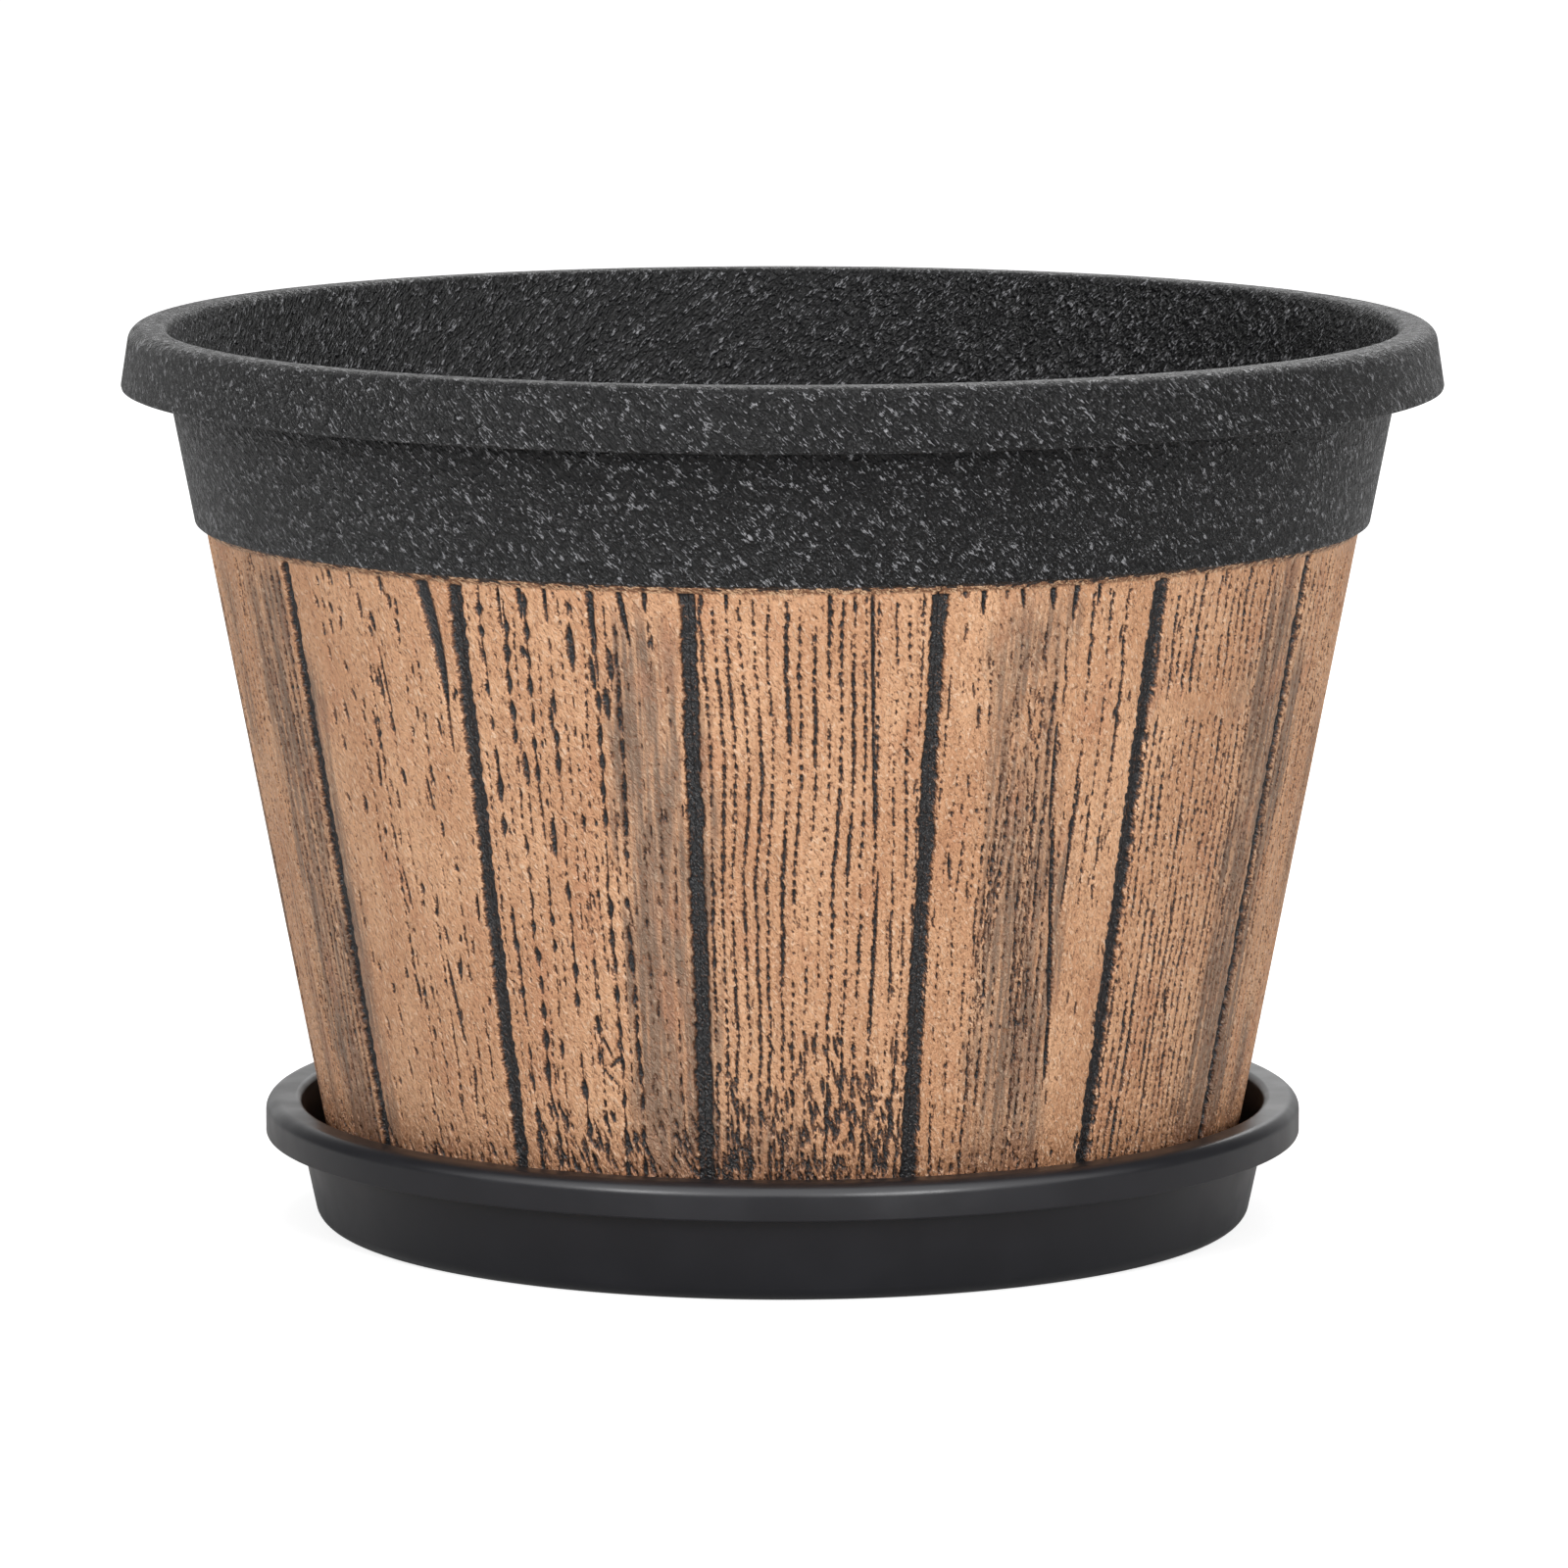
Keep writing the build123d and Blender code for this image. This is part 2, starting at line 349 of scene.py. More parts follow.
# %% Pot shell
TURN_STEPS = 360
SKIN = 1.8
SKIN_LOW = 8.2
FLOOR_JOINT = 84.0
SKIN_OVERLAP = 0.1
foot_high = SKIN_LOW - 0.2
foot_inner = plank_face(SEAT) - FOOT_WIDTH
inner_step = STEP + INNER_STEP_RISE
shell_corners = [
    (FLOOR_JOINT, FLOOR_UNDERSIDE, 0),
    (foot_inner, FLOOR_UNDERSIDE, 0.4),
    (foot_inner, foot_high, 0),
    (plank_face(foot_high), foot_high, 0),
    (plank_face(SKIN_LOW), SKIN_LOW, 0),
    (plank_face(SKIN_LOW) - SKIN + SKIN_OVERLAP, SKIN_LOW, 0),
    (plank_face(STEP) - SKIN + SKIN_OVERLAP, STEP - SKIN_OVERLAP, 0),
    (band_face(STEP + STEP_RISE), STEP + STEP_RISE, 0.7),
    (band_face(CHANNEL_TOP), CHANNEL_TOP, 1.2),
    (lip_face(CHANNEL_TOP) - LIP_WALL, CHANNEL_TOP, 2.0),
    (lip_face(LIP_EDGE) - LIP_WALL, LIP_EDGE, 0.5),
    (lip_face(LIP_EDGE), LIP_EDGE, 0.8),
    (lip_face(RIM_HEIGHT), RIM_HEIGHT, 3.4),
    (band_face(RIM_HEIGHT) - POT_WALL, RIM_HEIGHT, 2.2),
    (band_face(inner_step + STEP_RISE) - POT_WALL, inner_step + STEP_RISE, 1.2),
    (plank_face(inner_step) - POT_WALL, inner_step, 1.2),
    (plank_face(FLOOR_TOP) - POT_WALL, FLOOR_TOP, 5.0),
    (FLOOR_JOINT, FLOOR_TOP, 0),
]
weigh_normals(make_piece("pot_shell", turned(shell_corners, TURN_STEPS), pebbled,
                         "pot", "pot"))

# %% [markdown]
# ## The drained floor
# The floor is a disc with one hole in the middle and six round it. Circles filled as one flat
# region and pulled down to the floor's thickness keep every hole round, and a small bevel gives
# the holes the soft edge that a moulded hole has. A boolean cut would leave ragged faces.

# %% Pot floor with drain holes
DRAIN_RADIUS = 6.0
DRAIN_CIRCLE = 58.0
DRAIN_COUNT = 6
SHARP_ANGLE = math.radians(70)
bm = bmesh.new()
bmesh.ops.create_circle(bm, segments=180, radius=FLOOR_JOINT * MM, cap_ends=False)
drain_places = [(0.0, 0.0)]
for index in range(DRAIN_COUNT):
    angle = math.tau * index / DRAIN_COUNT
    drain_places.append((DRAIN_CIRCLE * math.cos(angle), DRAIN_CIRCLE * math.sin(angle)))
for x, y in drain_places:
    bmesh.ops.create_circle(bm, segments=48, radius=DRAIN_RADIUS * MM, cap_ends=False,
                            matrix=Matrix.Translation((x * MM, y * MM, 0)))
bmesh.ops.triangle_fill(bm, edges=bm.edges[:], use_beauty=True, normal=(0, 0, 1))
bmesh.ops.translate(bm, verts=bm.verts[:], vec=(0, 0, FLOOR_UNDERSIDE * MM))
pull(bm, bm.faces[:], (0, 0, FLOOR_TOP - FLOOR_UNDERSIDE))
hole_rims = [
    edge for edge in bm.edges
    if len(edge.link_faces) == 2 and edge.calc_face_angle(0) > SHARP_ANGLE
    and edge.verts[0].co.xy.length < (DRAIN_CIRCLE + 2 * DRAIN_RADIUS) * MM
]
ease(bm, hole_rims, 0.5)
weigh_normals(make_piece("pot_floor", bm, pebbled, "pot", "pot"))

# %% [markdown]
# ## The notched foot
# The pot stands on a ring that six notches divide, so that water can leave. Each length of the
# ring is a small outline turned through part of a circle and capped, then copied round.

# %% Pot foot
NOTCH_COUNT = 6
NOTCH_WIDTH = 14.0
NOTCH_AT = 15.0
FOOT_STEPS = 48
foot_overlap = 0.4
foot_inset = 0.3
notch_angle = math.degrees(NOTCH_WIDTH / plank_face(SEAT))
foot_corners = [
    (foot_inner, SEAT, 0.5),
    (plank_face(SEAT), SEAT, 0.5),
    (plank_face(foot_high), foot_high, 0),
    (plank_face(foot_high) - foot_inset, foot_high + foot_overlap, 0),
    (foot_inner + foot_inset, foot_high + foot_overlap, 0),
    (foot_inner, foot_high, 0),
]
bm = outline(foot_corners)
bmesh.ops.delete(bm, geom=bm.faces[:], context="FACES_ONLY")
bmesh.ops.rotate(bm, verts=bm.verts[:], cent=(0, 0, 0),
                 matrix=Matrix.Rotation(math.radians(NOTCH_AT + notch_angle / 2), 3, "Z"))
bmesh.ops.spin(
    bm, geom=bm.verts[:] + bm.edges[:], cent=(0, 0, 0), axis=(0, 0, 1),
    angle=math.radians(360 / NOTCH_COUNT - notch_angle), steps=FOOT_STEPS,
)
bmesh.ops.holes_fill(bm, edges=[edge for edge in bm.edges if edge.is_boundary], sides=0)
bmesh.ops.recalc_face_normals(bm, faces=bm.faces[:])
repeat_round(bm, NOTCH_COUNT)
weigh_normals(make_piece("pot_foot", bm, pebbled, "pot", "pot"))

# %% [markdown]
# ## The webs under the lip
# Thin webs tie the lip to the wall inside the channel, one over each plank. Only a view from
# below shows them. One is drawn as a flat face, thickened, eased with a bevel and copied round.

# %% Webs in the lip's channel
PLANK_COUNT = 15
PLANK_ANGLE = 360 / PLANK_COUNT
FIRST_GROOVE = -99.0
WEB_THICKNESS = 1.6
WEB_RECESS = 4.0
WEB_ROOT = 0.5
web_low = LIP_EDGE + WEB_RECESS
web_high = CHANNEL_TOP + WEB_ROOT
bm = fin([
    (band_face(web_low) - WEB_ROOT, web_low),
    (lip_face(web_low) - LIP_WALL + WEB_ROOT, web_low),
    (lip_face(web_high) - LIP_WALL + WEB_ROOT, web_high),
    (band_face(web_high) - WEB_ROOT, web_high),
], WEB_THICKNESS)
low_edges = [
    edge for edge in bm.edges
    if max(v.co.z for v in edge.verts) < (web_low + 0.1) * MM
    and abs(edge.verts[0].co.y - edge.verts[1].co.y) < 1e-6
]
ease(bm, low_edges, 0.4)
bmesh.ops.rotate(
    bm, verts=bm.verts[:], cent=(0, 0, 0),
    matrix=Matrix.Rotation(math.radians(FIRST_GROOVE + PLANK_ANGLE / 2), 3, "Z"),
)
repeat_round(bm, PLANK_COUNT)
weigh_normals(make_piece("pot_webs", bm, pebbled, "pot", "pot"))

# %% [markdown]
# ## The saucer
# The saucer is turned like the pot: out under its foot, up its leaning wall, over a lip that
# hangs outside it, and back along a floor whose middle is raised. Twelve ribs carry the pot.

# %% Saucer dish and ribs
SAUCER_FOOT_WIDTH = 14.0
SAUCER_STEP_RUN = 3.0
STEP_OUTER = saucer_face(0) - SAUCER_FOOT_WIDTH
STEP_INNER = STEP_OUTER - SAUCER_STEP_RUN
RAISED = 1.2
saucer_channel = SAUCER_HEIGHT - SAUCER_WALL
saucer_corners = [
    (saucer_face(0), 0, 4.0),
    (saucer_face(saucer_channel), saucer_channel, 0.8),
    (SAUCER_LIP_RADIUS - SAUCER_WALL, saucer_channel, 1.2),
    (SAUCER_LIP_RADIUS - SAUCER_WALL, SAUCER_LIP_EDGE, 0.5),
    (SAUCER_LIP_RADIUS, SAUCER_LIP_EDGE, 0.4),
    (SAUCER_LIP_RADIUS, SAUCER_HEIGHT, 3.0),
    (saucer_face(SAUCER_HEIGHT) - SAUCER_WALL, SAUCER_HEIGHT, 1.8),
    (saucer_face(SAUCER_WALL) - SAUCER_WALL, SAUCER_WALL, 2.5),
    (STEP_OUTER, SAUCER_WALL, 0.8),
    (STEP_INNER, RAISED + SAUCER_WALL, 0.8),
    (0, RAISED + SAUCER_WALL, 0),
    (0, RAISED, 0),
    (STEP_INNER, RAISED, 0.8),
    (STEP_OUTER, 0, 0.8),
]
weigh_normals(make_piece("saucer_dish", turned(saucer_corners, TURN_STEPS), satin,
                         "saucer", "saucer"))

RIB_COUNT = 12
RIB_START = 28.0
RIB_WIDTH = 2.4
RIB_ROOT = 1.0
bm = fin([
    (RIB_START, RAISED + RIB_ROOT),
    (STEP_INNER, RAISED + RIB_ROOT),
    (STEP_OUTER, RIB_ROOT),
    (plank_face(SEAT), RIB_ROOT),
    (plank_face(SEAT), SEAT),
    (RIB_START, SEAT),
], RIB_WIDTH)
top_edges = [edge for edge in bm.edges if min(v.co.z for v in edge.verts) > (SEAT - 0.1) * MM]
ease(bm, top_edges, 0.5, segments=3)
repeat_round(bm, RIB_COUNT)
weigh_normals(make_piece("saucer_ribs", bm, satin, "saucer", "saucer"))

# %% [markdown]
# ## What a plank shows
# Each plank is a weathered board: open pores and checks pressed about a millimetre deep, laid
# out in rows along the grain, smoky grey zones, and splits that start at the top. The sizes are
# in millimetres on a board opened flat: across it from the middle, and down it from its top.
# A table says what each board is like, and the rest is drawn by a seeded random generator, so
# every run gives the same boards. The first few rows of the grid are the narrow ledge on which
# the black band sits.

# %% The boards' grids
ROWS = 280
LEDGE_ROWS = 5
COLUMNS = 140
BOARD_WIDTH = 49.0
SLOPE = math.cos(WALL_LEAN)
BOARD_LENGTH = (STEP - SKIN_LOW) / SLOPE
ledge_outer = band_face(STEP + STEP_RISE) - 0.3
ledge_high = STEP + STEP_RISE - 0.15
ledge_length = math.hypot(ledge_outer - plank_face(STEP), ledge_high - STEP)
across = np.linspace(-BOARD_WIDTH / 2, BOARD_WIDTH / 2, COLUMNS + 1)
down = np.concatenate([np.linspace(-ledge_length, 0, LEDGE_ROWS + 1)[:-1],
                       np.linspace(0, BOARD_LENGTH, ROWS + 1)])
row_heights = np.where(down < 0, STEP - down / ledge_length * (ledge_high - STEP),
                       STEP - down * SLOPE)
true_width = plank_face(row_heights) * math.radians(PLANK_ANGLE)
print("board", round(BOARD_LENGTH, 1), "mm long,", round(true_width[0], 1), "to",
      round(true_width[-1], 1), "mm wide, grid", len(down) - 1, "x", COLUMNS)


def cloud(rng, size_across, size_down, low=-1.0, high=1.0):
    """Smooth random field on the grid with blobs of about this size."""
    columns = int(BOARD_WIDTH / size_across) + 3
    rows = int((BOARD_LENGTH + ledge_length) / size_down) + 3
    seeds = rng.uniform(low, high, (rows, columns))
    x = (across - across[0]) / size_across + rng.uniform(0, 0.9)
    y = (down - down[0]) / size_down + rng.uniform(0, 0.9)
    x0, y0 = np.floor(x).astype(int), np.floor(y).astype(int)
    tx, ty = x - x0, y - y0
    tx, ty = tx * tx * (3 - 2 * tx), (ty * ty * (3 - 2 * ty))[:, None]
    upper = seeds[y0][:, x0] * (1 - tx) + seeds[y0][:, x0 + 1] * tx
    lower = seeds[y0 + 1][:, x0] * (1 - tx) + seeds[y0 + 1][:, x0 + 1] * tx
    return upper * (1 - ty) + lower * ty


def line(rng, size):
    """Smooth random values from -1 to 1 down the board, with features of about this size."""
    seeds = rng.uniform(-1, 1, int((BOARD_LENGTH + ledge_length) / size) + 3)
    place = (down - down[0]) / size + rng.uniform(0, 0.9)
    before = np.floor(place).astype(int)
    share = place - before
    share = share * share * (3 - 2 * share)
    return seeds[before] * (1 - share) + seeds[before + 1] * share


def press_row(field, rng, path, width, pitch, openness, depth, top, bottom):
    """Presses a row of checks down a path: beads that swell and merge, then thin out again."""
    beads = np.cos(2 * math.pi * (down / pitch + 0.45 * line(rng, 3 * pitch) + rng.uniform()))
    share = openness + 0.34 * beads + 0.42 * line(rng, 13) + 0.33 * line(rng, 3.4)
    share *= np.clip((down - top) / 3, 0, 1) * np.clip((bottom - down) / 6, 0, 1)
    half = np.clip(width / 2 * np.clip(share, 0, 1.25), 0.01, None)
    off = np.abs(across[None, :] - (path + 0.2 * line(rng, 2.5))[:, None])
    pressed = np.clip(1.6 * (1 - off / half[:, None]), 0, 1) * (half[:, None] > 0.12)
    np.maximum(field, depth * np.clip(0.55 + 0.6 * share, 0, 1)[:, None] * pressed, out=field)


def press_slit(field, x, y, width, length, depth, lean=0.0, bow=0.0, blunt=0.5):
    """Presses a slit with its middle at (x, y) into the field, deepest along its middle."""
    rows = np.abs(down - y) < length / 2
    if not rows.any():
        return
    along = down[rows] - y
    share = np.clip(1 - (2 * along / length) ** 2, 0, 1) ** blunt
    middle = x + lean * along + bow * along * along
    half = np.maximum(width / 2 * share, 0.01)[:, None]
    off = np.abs(across[None, :] - middle[:, None])
    pressed = depth * np.clip(1.5 * (1 - off / half), 0, 1) * (half > 0.08)
    field[rows] = np.maximum(field[rows], pressed)


# %% [markdown]
# ### The recipes
# Seven kinds of board are told apart. A recipe lists
# - rows of checks: from, to, spacing, openness, width, pitch of the beads, depth, top, bottom
# - loose pores: how many, from, to, width, length, depth
# - splits from the top edge: place, width, length, lean, bow
# - single marks: place across, place down, width, length, lean
# - nested arches of cathedral grain: middle, top, half spread, height, how many, step
# - smoky zones: place, half width, top, bottom, strength
# - slanting checks near the foot: how many, lean, height

# %% Recipes for the boards
BOARDS = {
    "combed": {
        "rows": [(-21.5, -8.0, 2.55, 0.66, 1.05, 2.2, 0.9, 0, 165),
                 (-5.6, 14.5, 2.65, 0.66, 1.15, 2.4, 0.95, 0, 165),
                 (16.8, 22.5, 2.4, 0.60, 0.95, 2.2, 0.85, 0, 165),
                 (-20.0, 21.5, 2.8, 0.12, 0.6, 1.7, 0.6, 0, 165)],
        "pores": [(50, -22, 22, 0.7, 1.8, 0.7)],
        "splits": [(11.2, 1.1, 60, 0.035, 0), (3.0, 0.9, 15, 0.0, 0), (-17.0, 1.0, 5, 0.0, 0)],
        "marks": [(19.5, 37, 0.9, 4.0, 0.7), (14.1, 84, 1.0, 40, -0.01)],
        "arches": [],
        "smoke": [(-22.5, 3.6, 14, 150, 0.9), (-10, 12, 105, 175, 0.6), (12, 10, 122, 175, 0.6),
                  (-12, 9, 14, 120, 0.25)],
        "foot": (640, 0.15, 56),
    },
    "swirled": {
        "rows": [(9.5, 18.5, 3.8, 0.58, 0.9, 2.5, 0.9, 1, 78),
                 (-11.5, 8.5, 2.3, 0.50, 0.95, 2.8, 0.9, 46, 165),
                 (-9.0, 5.0, 2.6, 0.40, 1.0, 2.6, 0.85, 8, 60),
                 (-22.0, -12.0, 3.2, 0.28, 0.95, 2.2, 0.9, 14, 165),
                 (-22.0, -17.0, 2.5, 0.60, 1.0, 2.6, 0.9, 108, 165)],
        "pores": [(120, -22, 22, 0.9, 2.0, 0.8)],
        "splits": [(-15.5, 1.5, 6, 0.0, 0), (-7.5, 1.2, 5, 0.1, 0), (-1.0, 1.8, 6, 0.1, 0),
                   (4.5, 1.6, 9, -0.05, 0), (9.6, 1.2, 6, 0.0, 0)],
        "marks": [(3.4, 44, 1.3, 26, 0.03), (5.6, 68, 1.7, 26, 0.08), (7.8, 90, 2.0, 24, 0.10),
                  (9.2, 108, 1.6, 18, 0.05), (9.8, 53, 1.0, 14, -0.05), (-19.0, 64, 1.1, 7, 0.1)],
        "arches": [(-5.0, 16, 6.5, 75, 6, 10)],
        "smoke": [(-3.5, 10.0, -12, 100, 0.7), (-0.5, 11.5, 46, 185, 0.85)],
        "foot": (160, 0.05, 24),
    },
    "fine": {
        "rows": [(-22.3, 10.0, 2.25, 0.68, 1.1, 2.2, 0.95, 0, 31),
                 (-22.3, 10.0, 2.15, 0.66, 1.1, 2.3, 0.95, 33, 165),
                 (10.0, 22.5, 1.9, 0.60, 1.0, 2.8, 0.9, 0, 165)],
        "pores": [(80, -22, 22, 0.9, 1.8, 0.8)],
        "splits": [(-12.0, 1.4, 5, 0.0, 0), (-6.0, 1.2, 4, 0.0, 0), (2.0, 1.3, 5, 0, 0)],
        "marks": [(10.5, 66, 1.2, 12, 0), (-4.0, 101, 1.2, 7, 0.1)],
        "arches": [],
        "smoke": [(16.5, 8.5, -12, 185, 0.95), (4.0, 5.0, 8, 46, 0.5), (-23.5, 3.0, 4, 45, 0.8)],
        "foot": (220, 0.05, 20),
    },
    "streaked": {
        "rows": [(-5.0, 22.0, 2.3, 0.72, 1.3, 3.0, 1.0, 4, 165),
                 (-21.0, -6.0, 2.7, 0.66, 1.3, 2.6, 1.0, 0, 165)],
        "pores": [(90, -22, 22, 0.8, 2.6, 0.8)],
        "splits": [],
        "marks": [],
        "arches": [],
        "smoke": [(-21.5, 6, 10, 160, 0.9), (8, 9, 25, 100, 0.5), (-6, 6, 95, 185, 0.7)],
        "foot": (220, 0.05, 20),
    },
    "smoky": {
        "rows": [(0.0, 22.0, 2.3, 0.62, 1.1, 3.0, 0.95, 0, 165),
                 (-22.0, -1.0, 2.7, 0.55, 1.1, 2.6, 0.9, 0, 165)],
        "pores": [(110, -22, 22, 0.8, 2.8, 0.8)],
        "splits": [(-16.0, 1.2, 6, 0, 0), (9.0, 1.2, 8, 0, 0)],
        "marks": [],
        "arches": [],
        "smoke": [(13.5, 11, -12, 185, 0.8), (-12, 6, -12, 60, 0.6), (-4, 5, 60, 185, 0.5)],
        "foot": (220, 0.05, 22),
    },
    "calm": {
        "rows": [(1.0, 22.0, 3.9, 0.52, 0.9, 3.2, 0.9, 96, 165),
                 (-15.0, 20.0, 4.6, 0.02, 1.1, 3.0, 1.0, 4, 165)],
        "pores": [(95, -17, 22, 1.25, 2.3, 1.0), (26, -4, 20, 1.2, 5.0, 1.0)],
        "splits": [(16.4, 4.4, 31, 0.21, -0.0035), (-9.5, 0.9, 4, 0, 0), (-3.0, 0.9, 5, 0.0, 0),
                   (5.5, 0.8, 5, 0.0, 0)],
        "marks": [(19.4, 24, 0.9, 18, 0.03), (2.0, 11, 1.6, 5, 0.15), (3.2, 24, 0.9, 16, 0.08)],
        "arches": [],
        "smoke": [(-22.0, 5.0, 10, 175, 0.95)],
        "foot": (280, 0.25, 24),
    },
    "pored": {
        "rows": [(-18.5, 13.0, 4.8, 0.42, 2.0, 7.0, 1.0, 2, 165),
                 (-21.0, 12.5, 2.4, 0.28, 0.85, 2.6, 0.85, 0, 165),
                 (14.0, 22.0, 3.0, 0.22, 1.0, 4.0, 0.85, 6, 165)],
        "pores": [(90, -21, 22, 0.8, 2.0, 0.8)],
        "splits": [(-14.5, 0.9, 13, 0.0, 0), (-9.9, 1.6, 8, 0.0, 0), (-4.4, 1.1, 7, 0.0, 0),
                   (5.0, 2.1, 15, 0.0, 0), (10.8, 1.8, 13, 0.15, 0), (16.0, 1.6, 5, 0.0, 0)],
        "marks": [(3.6, 110, 1.7, 3.4, -1.0), (1.8, 106.5, 1.0, 5, 0.4), (5.2, 106, 0.9, 3.5, 0.2),
                  (2.4, 114, 1.0, 4.5, 0.9), (-5.2, 30, 1.2, 5, 0.0), (-10.2, 15, 1.5, 3, 0.0),
                  (0.3, 13.3, 2.3, 9.5, 0.03), (8.3, 17, 2.1, 7.5, 0.05), (7.1, 26, 2.0, 7.5, 0.05),
                  (4.5, 19, 1.6, 8.5, 0.08), (-12, 42, 1.9, 8, 0.04), (-7, 58, 1.8, 9, 0.0)],
        "arches": [],
        "smoke": [(15.5, 9.5, -4, 175, 1.0)],
        "foot": (420, 0.38, 38),
    },
}
BOARD_ORDER = [
    "combed", "swirled", "fine", "streaked", "calm", "combed", "pored", "smoky",
    "fine", "swirled", "calm", "pored", "smoky", "calm", "pored",
]

# %% [markdown]
# ### Pressing the boards
# The depth of every point is worked out as one field per board: the groove along both edges,
# with ragged walls, then the splits, the rows of checks and the loose pores. A second field
# holds how smoky the print is. Both stay with the mesh as attributes, for the material.

# %% Depth and smoke of one board
GROOVE_HALF = 2.05
GROOVE_DEPTH = 1.2
LAND = 0.35
PORE_DEPTH = 0.75
GROOVE_SLOPE = 0.6
LAND_SLOPE = 0.4
GROOVE_END = 4.0
LEDGE_SHARE = 0.4
ARCH_PITCH = 1.6
ARCH_INKED = 0.62
SMOKE_FADE_IN = 22
SMOKE_FADE_OUT = 14


def press_board(kind, number):
    """Depth in millimetres, how black it is, and how smoky it is, at every grid point."""
    rng = np.random.default_rng(4100 + number)
    recipe = BOARDS[kind]
    pits = np.zeros((len(down), COLUMNS + 1))
    warp = cloud(rng, 16, 34) * 1.1 + cloud(rng, 8, 12) * 0.35

    def bend(x, y):
        """How far the grain is carried sideways at this place."""
        column = min(max(np.searchsorted(across, x), 0), COLUMNS)
        row = min(max(np.searchsorted(down, y), 0), len(down) - 1)
        return warp[row, column]

    for first, last, spacing, openness, width, pitch, depth, top, bottom in recipe["rows"]:
        x = first
        while x <= last:
            column = min(np.searchsorted(across, x), COLUMNS)
            press_row(pits, rng, x + warp[:, column], width * rng.uniform(0.8, 1.2), pitch,
                      openness + rng.normal(0, 0.10), depth, top + rng.uniform(-2, 2), bottom)
            x += spacing * rng.uniform(0.88, 1.12)
    for count, first, last, width, length, depth in recipe["pores"]:
        for _ in range(count):
            x, y = rng.uniform(first, last), rng.uniform(0, BOARD_LENGTH)
            long = length * rng.gamma(3, 1 / 3) + 0.8
            press_slit(pits, x + bend(x, y), y, width * rng.uniform(0.6, 1.3), long,
                       depth * rng.uniform(0.5, 1.1), rng.normal(0.03, 0.08))
    for x, width, length, lean, bow in recipe["splits"]:
        press_slit(pits, x, 0, width, 2 * length, 1.1, lean, bow, 0.8)
    for x, y, width, length, lean in recipe["marks"]:
        press_slit(pits, x, y, width, length, 1.0, lean)
    for middle, top, spread, tall, count, step in recipe["arches"]:
        for arch in range(count):
            for y in np.arange(0.5, tall, ARCH_PITCH):
                reach = spread * math.sqrt(y / tall)
                for side in (-1, 1):
                    if rng.uniform() < ARCH_INKED:
                        press_slit(pits, middle + side * reach + rng.normal(0, 0.15),
                                   top + arch * step + y, 0.6, 2.2, rng.uniform(0.4, 0.8),
                                   side * spread / (2 * math.sqrt(y * tall)))
    count, lean, tall = recipe["foot"]
    for _ in range(count):
        y = BOARD_LENGTH - tall * (1 - math.sqrt(rng.uniform(0, 1)))
        press_slit(pits, rng.uniform(-22.5, 22.5), y, rng.uniform(0.7, 1.6),
                   rng.uniform(1.5, 5.5), rng.uniform(0.6, 1.0), rng.normal(lean, 0.14))

    smoke = np.zeros_like(pits)
    for x, half, top, bottom, strength in recipe["smoke"]:
        to_border = half - np.abs(across[None, :] - x + 0.9 * warp + 1.6 * cloud(rng, 49, 14))
        to_border += 1.6 * cloud(rng, 1.4, 18)
        ends = np.clip((down - top) / SMOKE_FADE_IN, 0, 1)
        ends *= np.clip((bottom - down) / SMOKE_FADE_OUT, 0, 1)
        zone = np.clip((to_border + 2) / 6, 0, 1) * ends[:, None] * strength
        smoke = np.maximum(smoke, zone * (0.9 + 0.25 * cloud(rng, 2.2, 26)))

    to_edge = (BOARD_WIDTH / 2 - np.abs(across))[None, :] * (true_width / BOARD_WIDTH)[:, None]
    ragged = GROOVE_HALF + 0.42 * cloud(rng, 49, 1.0) + 0.25 * cloud(rng, 24, 9)
    groove = np.clip((ragged - to_edge) / GROOVE_SLOPE, 0, 1)
    land = LAND + 0.3 * cloud(rng, 1.5, 200)[0]
    groove *= np.clip((down[:, None] - land[None, :]) / LAND_SLOPE, 0, 1)
    groove *= np.clip(BOARD_LENGTH - GROOVE_END - down, 0, 1)[:, None]
    pits *= np.clip((down[:, None] - land[None, :] + LAND_SLOPE / 2) / LAND_SLOPE, 0, 1)
    up_ledge = (-down / ledge_length)[:, None]
    nicks = np.clip(3 * (up_ledge + 0.8 * cloud(rng, 1.1, 0.9) - 0.6), 0, 1)
    pits = np.where(down[:, None] < 0, nicks, pits)
    pits = np.clip(pits, 0, 1.1)
    depth = np.maximum(GROOVE_DEPTH * groove, PORE_DEPTH * pits)
    depth[down < 0] *= LEDGE_SHARE
    return depth, np.maximum(groove, pits), np.clip(smoke, 0, 1)


# %% [markdown]
# ## The wood print
# The wall's wood is paint and print on a moulded relief: a warm tan, greyer along some grooves,
# with brown in the shallow pores and black in the deep ones, and browner towards the foot. All
# of it has the same leathery skin as the black plastic, which breaks the light into small
# glints. The pattern follows the board, so it reads the board's own coordinates in millimetres.

# %% Noises along the grain of the print
BOARD_APART = 7.31
SKIN_SLANT = 0.45
SKIN_WIDTH = 0.62
SKIN_LENGTH = 1.5
PORE_WIDTH = 1.3
PORE_LENGTH = 3.6
FOOT_STAIN = 26
LACQUER_IOR = 1.47

wood, tree, shader = new_material("wood_print_on_polypropylene")
board = add(tree, "ShaderNodeAttribute", attribute_name="board").outputs["Vector"]
pit = add(tree, "ShaderNodeAttribute", attribute_name="pit").outputs["Fac"]
smoke = add(tree, "ShaderNodeAttribute", attribute_name="smoke").outputs["Fac"]
along = add(tree, "ShaderNodeSeparateXYZ", {0: board}).outputs[1]

